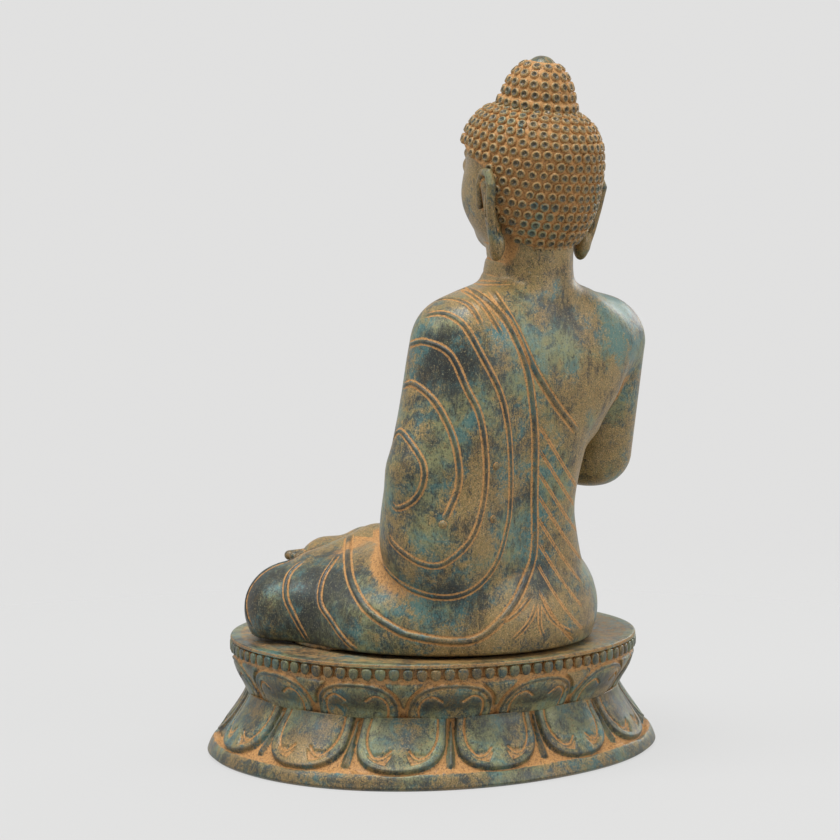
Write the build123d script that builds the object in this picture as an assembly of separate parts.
"""Seated buddha statue on a double lotus base, in hollow cast bronze, 260 mm tall.

The frame: millimetres, +Z up, origin on the floor under the middle of the base. The figure
faces -Y and its right hand is on the -X side. Every casting is a closed solid of its own,
and the castings meet face to face where the foundry brazes them together.
"""
from build123d import *
import os
from math import asin, atan2, cos, degrees, hypot, pi, sin

# Lotus base: half lengths along X and Y of its oval outlines, and the heights they have.
FOOT = (89.0, 76.5)
WAIST = (73.0, 64.0)
RIM = (77.5, 70.5)
BASE_WALL = 4.5
FOOT_RING_TOP = 8.0
WAIST_Z = 23.5
RIM_Z = 38.0
PLATE_BOTTOM_Z = 42.5
PLATE_TOP_Z = 44.0
PETAL_COUNT = 13
PETAL_PHASE = 0.68
LOWER_PETAL_WIDTH = 29.0
UPPER_PETAL_WIDTH = 31.0
PETAL_RELIEF = 1.6
BEAD_COUNT = 96
BEAD_WIDTH = 3.6
BEAD_DEPTH = 2.0

# Lugs that carry the figure just clear of the seat plate: centre X, centre Y, turn.
LUG_SIZE = (24.0, 7.0, 2.5)
LUGS = {
    "rear_left_lug": (61.5, 2.0, 90.0),
    "rear_right_lug": (-4.0, 58.5, 20.0),
    "front_left_lug": (34.0, -36.0, 25.0),
    "front_right_lug": (-34.0, -36.0, -25.0),
}

# Figure: joints between its castings, and the places of its limbs.
CAST_WALL = 4.0
SEAT_Z = PLATE_TOP_Z + LUG_SIZE[2]
HIP_JOINT_Z = 74.0
NECK_JOINT_Z = 178.0
LAP_CENTRE = (1.0, 8.0)
LAP_CORE = (0.0, 10.0, 60.0)
LAP_CORE_SIZE = (84.0, 76.0, 20.0)
RIGHT_SHOULDER = (-45.0, 46.0, 158.0)
RIGHT_ELBOW = (-52.0, 32.0, 115.0)
RIGHT_WRIST = (-38.0, -12.0, 120.0)
LEFT_ELBOW = (43.0, 46.0, 113.0)
LEFT_WRIST = (20.0, -4.0, 92.0)
LEFT_PALM = (16.0, -18.0, 93.5)
FINGER_REACHES = (12.0, 15.0, 14.0, 10.0)
SOLE_Z = 85.0
NECK = (-5.0, 46.0)
NECK_RADIUS = 15.0
SKULL = (-6.0, 49.4, 218.0)
SKULL_RADIUS = 27.0
HAIR_DEPTH = 3.0
HAIRLINE_SLOPE = 42.0
FACE = (-6.0, 41.0, 209.0)
FACE_RADIUS = 20.0
FACE_HALF_HEIGHT = 24.0
URNA_RADIUS = 1.5
TOPKNOT = (-6.0, 51.5, 240.0)
TOPKNOT_RADIUS = 15.0
JEWEL_RADIUS = 5.2
JEWEL_HEIGHT = 3.4
TOP_Z = 260.0
CORE_PLUG_RADIUS = 1.4
CORE_PLUGS = ((12.0, 114.0), (12.0, 95.0), (-14.0, 95.0))

# Trunk cross-sections: height, centre X, centre Y, half width, half depth.
TRUNK_SECTIONS = (
    (HIP_JOINT_Z, 0.0, 38.0, 33.0, 26.0),
    (86.0, 0.0, 39.0, 29.0, 24.0),
    (98.0, -1.0, 41.0, 27.0, 23.0),
    (118.0, -2.0, 43.0, 31.5, 23.5),
    (138.0, -3.0, 45.0, 39.0, 23.5),
    (152.0, -4.0, 46.0, 43.0, 21.5),
    (163.0, -4.0, 46.5, 40.0, 19.5),
    (171.0, -4.5, 46.5, 29.0, 17.0),
    (NECK_JOINT_Z, *NECK, NECK_RADIUS + 0.5, NECK_RADIUS),
)

# Lap seen from above: the outline's left side from the shins over the knee to the rear, and
# the share of it that each height has.
LAP_LEFT_SIDE = ((0.0, -45.0), (38.0, -43.0), (68.0, -26.0), (69.0, 2.0), (50.0, 42.0), (0.0, 66.0))
LAP_LEVELS = (
    (SEAT_Z, 0.92),
    (53.0, 0.98),
    (61.0, 1.0),
    (69.0, 0.96),
    (76.0, 0.85),
    (82.0, 0.66),
)

# Robed left arm cross-sections, the same way.
SLEEVE_SECTIONS = (
    (76.0, 30.0, 40.0, 12.0, 15.0),
    (90.0, 33.0, 42.0, 19.0, 19.0),
    (112.0, 36.0, 45.0, 20.5, 18.5),
    (135.0, 33.0, 46.0, 19.5, 17.5),
    (152.0, 30.0, 46.0, 19.5, 17.5),
    (165.0, 26.0, 46.0, 17.5, 15.0),
    (174.0, 18.0, 46.0, 11.0, 9.0),
)


def spheroid(centre, radius, half_height, tilt=(0, 0, 0)):
    """A closed solid of revolution with an elliptical outline, its axis along Z before tilt."""
    with BuildLine() as outline:
        EllipticalCenterArc((0, 0), radius, half_height, start_angle=-90, arc_size=180)
        Line((0, half_height), (0, -half_height))
    solid = revolve(make_face(Plane.XZ * outline.line), axis=Axis.Z)
    return Pos(*centre) * Rot(*tilt) * solid


def capsule(start, end, start_radius, end_radius):
    """A round bar with ball ends at start and end, tapered between their two radii."""
    dx, dy, dz = (e - s for s, e in zip(start, end))
    flat = hypot(dx, dy)
    length = hypot(flat, dz)
    lean = degrees(asin((start_radius - end_radius) / length))
    with BuildLine() as outline:
        low = CenterArc((0, 0), start_radius, -90, 90 + lean)
        high = CenterArc((0, length), end_radius, lean, 90 - lean)
        Line(low @ 1, high @ 0)
        Line(high @ 1, low @ 0)
    bar = revolve(make_face(Plane.XZ * outline.line), axis=Axis.Z)
    return Pos(*start) * Rot(0, 0, degrees(atan2(dy, dx))) * Rot(0, degrees(atan2(flat, dz)), 0) * bar


def oval(z, centre_x, centre_y, half_x, half_y):
    """A level oval face, which Ellipse wants with its longer half length first."""
    if half_x >= half_y:
        return Pos(centre_x, centre_y, z) * Ellipse(half_x, half_y).face()
    return Pos(centre_x, centre_y, z) * Rot(0, 0, 90) * Ellipse(half_y, half_x).face()


def oval_tier(levels, shrink=0.0):
    """A stack of ruled oval rings about the base's axis: height, half length, half depth."""
    return loft([oval(z, 0, 0, a - shrink, b - shrink) for z, a, b in levels], ruled=True)


def above(z):
    """A large box that stands on height z."""
    reach = 400.0
    return Pos(0, 0, z + reach / 2) * Box(reach, reach, reach)


def less(piece, *cutters):
    """The piece without the space that each cutter takes."""
    for cutter in cutters:
        piece = piece - cutter
    return piece


def round_the_oval(half_x, half_y, count, offset=0.0):
    """Evenly spaced places round an oval, from its rear, each turned so that +X is outward."""
    steps = 3600
    step = 2 * pi / steps
    lengths = [0.0]
    for i in range(steps):
        t = (i + 0.5) * step
        lengths.append(lengths[-1] + hypot(half_x * cos(t), half_y * sin(t)) * step)
    places = []
    i = 0
    for k in range(count):
        while lengths[i] < (k + offset) * lengths[-1] / count:
            i += 1
        t = i * step
        facing = degrees(atan2(half_x * cos(t), half_y * sin(t)))
        places.append(Pos(half_x * sin(t), half_y * cos(t), 0) * Rot(0, 0, facing))
    return places


def petal_block(width, root_z, tip_z):
    """A deep block with a petal's outline: straight at its root, round at its tip."""
    half = width / 2
    shoulder_z = tip_z + (root_z - tip_z) * 0.6
    rise = tip_z - shoulder_z
    with BuildLine() as outline:
        Spline((half, shoulder_z), (0, tip_z), (-half, shoulder_z),
               tangents=[(0, rise), (0, -rise)])
        Polyline((-half, shoulder_z), (-half * 0.8, root_z), (half * 0.8, root_z),
                 (half, shoulder_z))
    return extrude(make_face(Plane.YZ * outline.line), amount=50.0, dir=(1, 0, 0))


def with_petals(body, skirt, ring, block, offset):
    """The body with raised petals: the skirt swollen by their relief, under each outline."""
    swollen = oval_tier(skirt, -PETAL_RELIEF) - oval_tier(skirt, BASE_WALL / 2)
    for place in round_the_oval(*ring, PETAL_COUNT, offset):
        body += swollen & (place * Pos(-20, 0, 0) * block)
    return body


def lower_lotus_tier():
    """Foot ring and the tier of petals that hang down, hollow and open underneath."""
    a, b = FOOT
    ring = [(0.0, a - 0.6, b - 0.6), (1.2, a, b), (5.0, a - 0.3, b - 0.3),
            (FOOT_RING_TOP, a - 4.0, b - 4.0)]
    skirt = [(FOOT_RING_TOP, a - 4.5, b - 4.5), (14.0, a - 7.5, b - 6.5), (WAIST_Z, *WAIST)]
    petal = petal_block(LOWER_PETAL_WIDTH, WAIST_Z - 0.2, FOOT_RING_TOP + 0.6)
    body = oval_tier(ring) + oval_tier(skirt)
    body = with_petals(body, skirt, (a - 9, b - 8), petal, PETAL_PHASE)
    hollow = [(0.0, a - 2, b - 2), (FOOT_RING_TOP, a - 4.5, b - 4.5), (WAIST_Z, *WAIST)]
    return body - oval_tier(hollow, BASE_WALL)


def upper_lotus_tier():
    """Tier of petals that stand up: a hollow ring that carries the beading and the plate."""
    a, b = RIM
    skirt = [(WAIST_Z, *WAIST), (30.0, a - 1.5, b - 2.5), (RIM_Z, a + 0.6, b + 0.6)]
    rim = [(RIM_Z, a - 1.0, b - 1.0), (PLATE_BOTTOM_Z, a - 1.0, b - 1.0)]
    petal = petal_block(UPPER_PETAL_WIDTH, WAIST_Z + 0.2, RIM_Z - 0.2)
    body = oval_tier(skirt) + oval_tier(rim)
    body = with_petals(body, skirt, (a - 2, b - 3), petal, PETAL_PHASE - 0.5)
    hollow = [(WAIST_Z, *WAIST), (PLATE_BOTTOM_Z, a - 1.0, b - 1.0)]
    return body - oval_tier(hollow, BASE_WALL)


def rim_beading():
    """The row of upright beads brazed round the rim, each a small closed solid."""
    a, b = (half - 1.0 for half in RIM)
    height = PLATE_BOTTOM_Z - RIM_Z - 0.4
    bead = Pos(BEAD_DEPTH / 2 + 0.02, 0, (PLATE_BOTTOM_Z + RIM_Z) / 2) * Box(
        BEAD_DEPTH, BEAD_WIDTH, height)
    bead = fillet(bead.edges().filter_by(Axis.X), BEAD_WIDTH * 0.4)
    band = oval_tier([(RIM_Z, a, b), (PLATE_BOTTOM_Z, a, b)])
    beads = [(place * bead) - band for place in round_the_oval(a, b, BEAD_COUNT)]
    return Compound(children=[bead.solids()[0] for bead in beads])


def seat_plate():
    """The flat oval plate that closes the base and carries the figure."""
    thickness = PLATE_TOP_Z - PLATE_BOTTOM_Z
    a, b = (half + 1.5 for half in RIM)
    plate = extrude(oval(PLATE_BOTTOM_Z, 0, 0, a, b), thickness)
    return chamfer(plate.edges().group_by(Axis.Z)[-1], 0.5)


def lugs():
    """The bars brazed between the seat plate and the figure's underside."""
    bar = Pos(0, 0, LUG_SIZE[2] / 2) * Box(*LUG_SIZE)
    bar = fillet(bar.edges().filter_by(Axis.Z), 2.0)
    return {name: Pos(x, y, PLATE_TOP_Z) * Rot(0, 0, turn) * bar
            for name, (x, y, turn) in LUGS.items()}


def lap_block():
    """Hips, crossed legs and knees under the robe, lofted up from the flat seat."""
    x, y = LAP_CENTRE
    right_side = [(-px, py) for px, py in reversed(LAP_LEFT_SIDE[1:-1])]
    levels = []
    for z, share in LAP_LEVELS:
        points = [(x + px * share, y + (py - y) * share) for px, py in (*LAP_LEFT_SIDE, *right_side)]
        with BuildLine() as outline:
            Spline(*points, periodic=True)
        levels.append(Pos(0, 0, z) * make_face(outline.line))
    return loft(levels)


def lap_core():
    """The core cavity inside the lap."""
    core = Pos(*LAP_CORE) * Box(*LAP_CORE_SIZE)
    return fillet(core.edges().filter_by(Axis.Z), 24.0)


def trunk_block(inset=0.0):
    """The trunk from the hips to the neck, or its core when inset is the wall."""
    lowest, highest = TRUNK_SECTIONS[0][0] + inset, TRUNK_SECTIONS[-1][0] - inset
    return loft([oval(min(max(z, lowest), highest), x, y, a - inset, b - inset)
                 for z, x, y, a, b in TRUNK_SECTIONS])


def foot(side, z):
    """A foot that lies sole up on the opposite thigh, with its five toes outward."""
    sole = spheroid((side * 24.0, -16.5, z), 8.0, 18.0, (0, 90, 0))
    for i in range(5):
        y = -22.7 + 3.1 * i
        sole += capsule((side * 33.0, y, z - 0.7), (side * (43.0 + i * 0.7), y, z - 0.9), 3.0, 2.5)
    return sole


def left_arm_block():
    """Left arm inside the hanging sleeve of the robe, which joins it to the flank."""
    sleeve = loft([oval(*section) for section in SLEEVE_SECTIONS])
    return sleeve + capsule(LEFT_ELBOW, LEFT_WRIST, 12.0, 9.0)


def right_arm_block():
    """Bare right arm, bent at the elbow, with the forearm held out level."""
    upper = capsule(RIGHT_SHOULDER, RIGHT_ELBOW, 15.0, 11.0)
    fore = capsule(RIGHT_ELBOW, RIGHT_WRIST, 11.0, 7.0)
    return upper + fore


def hand():
    """An open hand along +Z with its palm to -Y and its wrist at the origin."""
    palm = capsule((-3.6, 0, 4.0), (-3.6, 0, 19.0), 4.0, 4.6)
    palm += capsule((3.6, 0, 4.0), (3.6, 0, 19.0), 4.0, 4.7)
    for i, reach in enumerate(FINGER_REACHES):
        x = 4.1 * i - 6.2
        palm += capsule((x, -0.5, 19.0), (x * 1.1, -0.5, 22.0 + reach), 2.5, 2.0)
    return palm + capsule((5.0, -1.5, 9.0), (11.5, -3.0, 22.0), 3.1, 2.2)


def right_hand():
    """Raised right hand, palm to the front."""
    x, y, z = RIGHT_WRIST
    return Pos(x, y - 5.0, z) * hand()


def left_hand():
    """Left hand on the lap, palm up, with its fingers towards the figure's right."""
    lying = Rot(0, 0, 180) * Rot(0, 90, 0) * Rot(0, 0, -90)
    return Pos(*LEFT_PALM) * lying * hand()


def ear(side):
    """A long ear, which leans in towards its lobe."""
    top, lobe = (side * 25.0, 0.0, 12.0), (side * 21.0, -1.0, -12.5)
    return Pos(SKULL[0], SKULL[1] - 3.0, 203.5) * capsule(lobe, top, 3.6, 4.6)


def head_block():
    """Neck, face with its nose, the skull under the hair and both ears."""
    block = Pos(*NECK, (NECK_JOINT_Z + 205.0) / 2) * Cylinder(NECK_RADIUS, 205.0 - NECK_JOINT_Z)
    block += Pos(*SKULL) * Sphere(SKULL_RADIUS - HAIR_DEPTH)
    block += spheroid(FACE, FACE_RADIUS, FACE_HALF_HEIGHT)
    front = FACE[1] - FACE_RADIUS
    block += capsule((FACE[0], front, FACE[2] - 5.0), (FACE[0], front + 1.5, FACE[2] + 6.0), 3.2, 1.8)
    return block + ear(-1) + ear(1)


def hair_block():
    """The cap of curls over the skull, above a hairline that falls from brow to nape."""
    cap = Pos(*SKULL) * (Sphere(SKULL_RADIUS) - Sphere(SKULL_RADIUS - HAIR_DEPTH))
    line = Pos(SKULL[0], SKULL[1] - 6.0, SKULL[2] - 4.0) * Rot(-HAIRLINE_SLOPE, 0, 0)
    return cap & (line * Pos(0, 0, 50) * Box(100, 100, 100))


def figure():
    """Every casting of the figure, each cut where it meets its neighbours."""
    trunk, legs, skull = trunk_block(), lap_block(), head_block()
    robed_arm, bare_arm = left_arm_block(), right_arm_block()
    soles = [foot(1, SOLE_Z), foot(-1, SOLE_Z - 1.0)]
    jewel = Pos(*TOPKNOT[:2], TOP_Z - JEWEL_RADIUS) * Sphere(JEWEL_RADIUS)
    jewel = jewel & above(TOP_Z - JEWEL_HEIGHT)
    knot = spheroid(TOPKNOT, TOPKNOT_RADIUS, TOP_Z - 1.6 - TOPKNOT[2]) & above(TOPKNOT[2] - 4.0)
    knot = less(knot, Pos(*SKULL) * Sphere(SKULL_RADIUS - HAIR_DEPTH), jewel)
    brow = (FACE[0], FACE[1] - FACE_RADIUS * 0.9, FACE[2] + 10.5)
    urna = Pos(*brow) * Sphere(URNA_RADIUS)
    plugs = [Pos(x, 60, z) * Rot(90, 0, 0) * Cylinder(CORE_PLUG_RADIUS, 20) & trunk_block()
             for x, z in CORE_PLUGS]
    neck = Pos(*NECK, NECK_JOINT_Z) * Cylinder(NECK_RADIUS, 60)
    return {
        "lap": less(legs, trunk, lap_core()),
        "torso": less(trunk, trunk_block(CAST_WALL), *plugs),
        "left_arm": less(robed_arm, trunk, legs),
        "right_arm": less(bare_arm, trunk),
        "right_hand": less(right_hand(), bare_arm),
        "right_foot": less(soles[0], legs, robed_arm),
        "left_foot": less(soles[1], legs),
        "left_hand": less(left_hand(), robed_arm, legs, *soles),
        "head": less(skull, urna),
        "hair_cap": less(hair_block(), ear(-1), ear(1), spheroid(FACE, FACE_RADIUS, FACE_HALF_HEIGHT),
                         neck, knot),
        "topknot": knot,
        "topknot_jewel": jewel,
        "urna": urna,
        "core_plugs": Compound(children=[plug.solids()[0] for plug in plugs]),
    }


def main():
    """Build every piece and write one STEP file for each."""
    pieces = {
        "lower_lotus_tier": lower_lotus_tier(),
        "upper_lotus_tier": upper_lotus_tier(),
        "rim_beading": rim_beading(),
        "seat_plate": seat_plate(),
        **lugs(),
        **figure(),
    }
    os.makedirs("parts", exist_ok=True)
    for name, piece in pieces.items():
        export_step(piece, f"parts/{name}.step")


main()
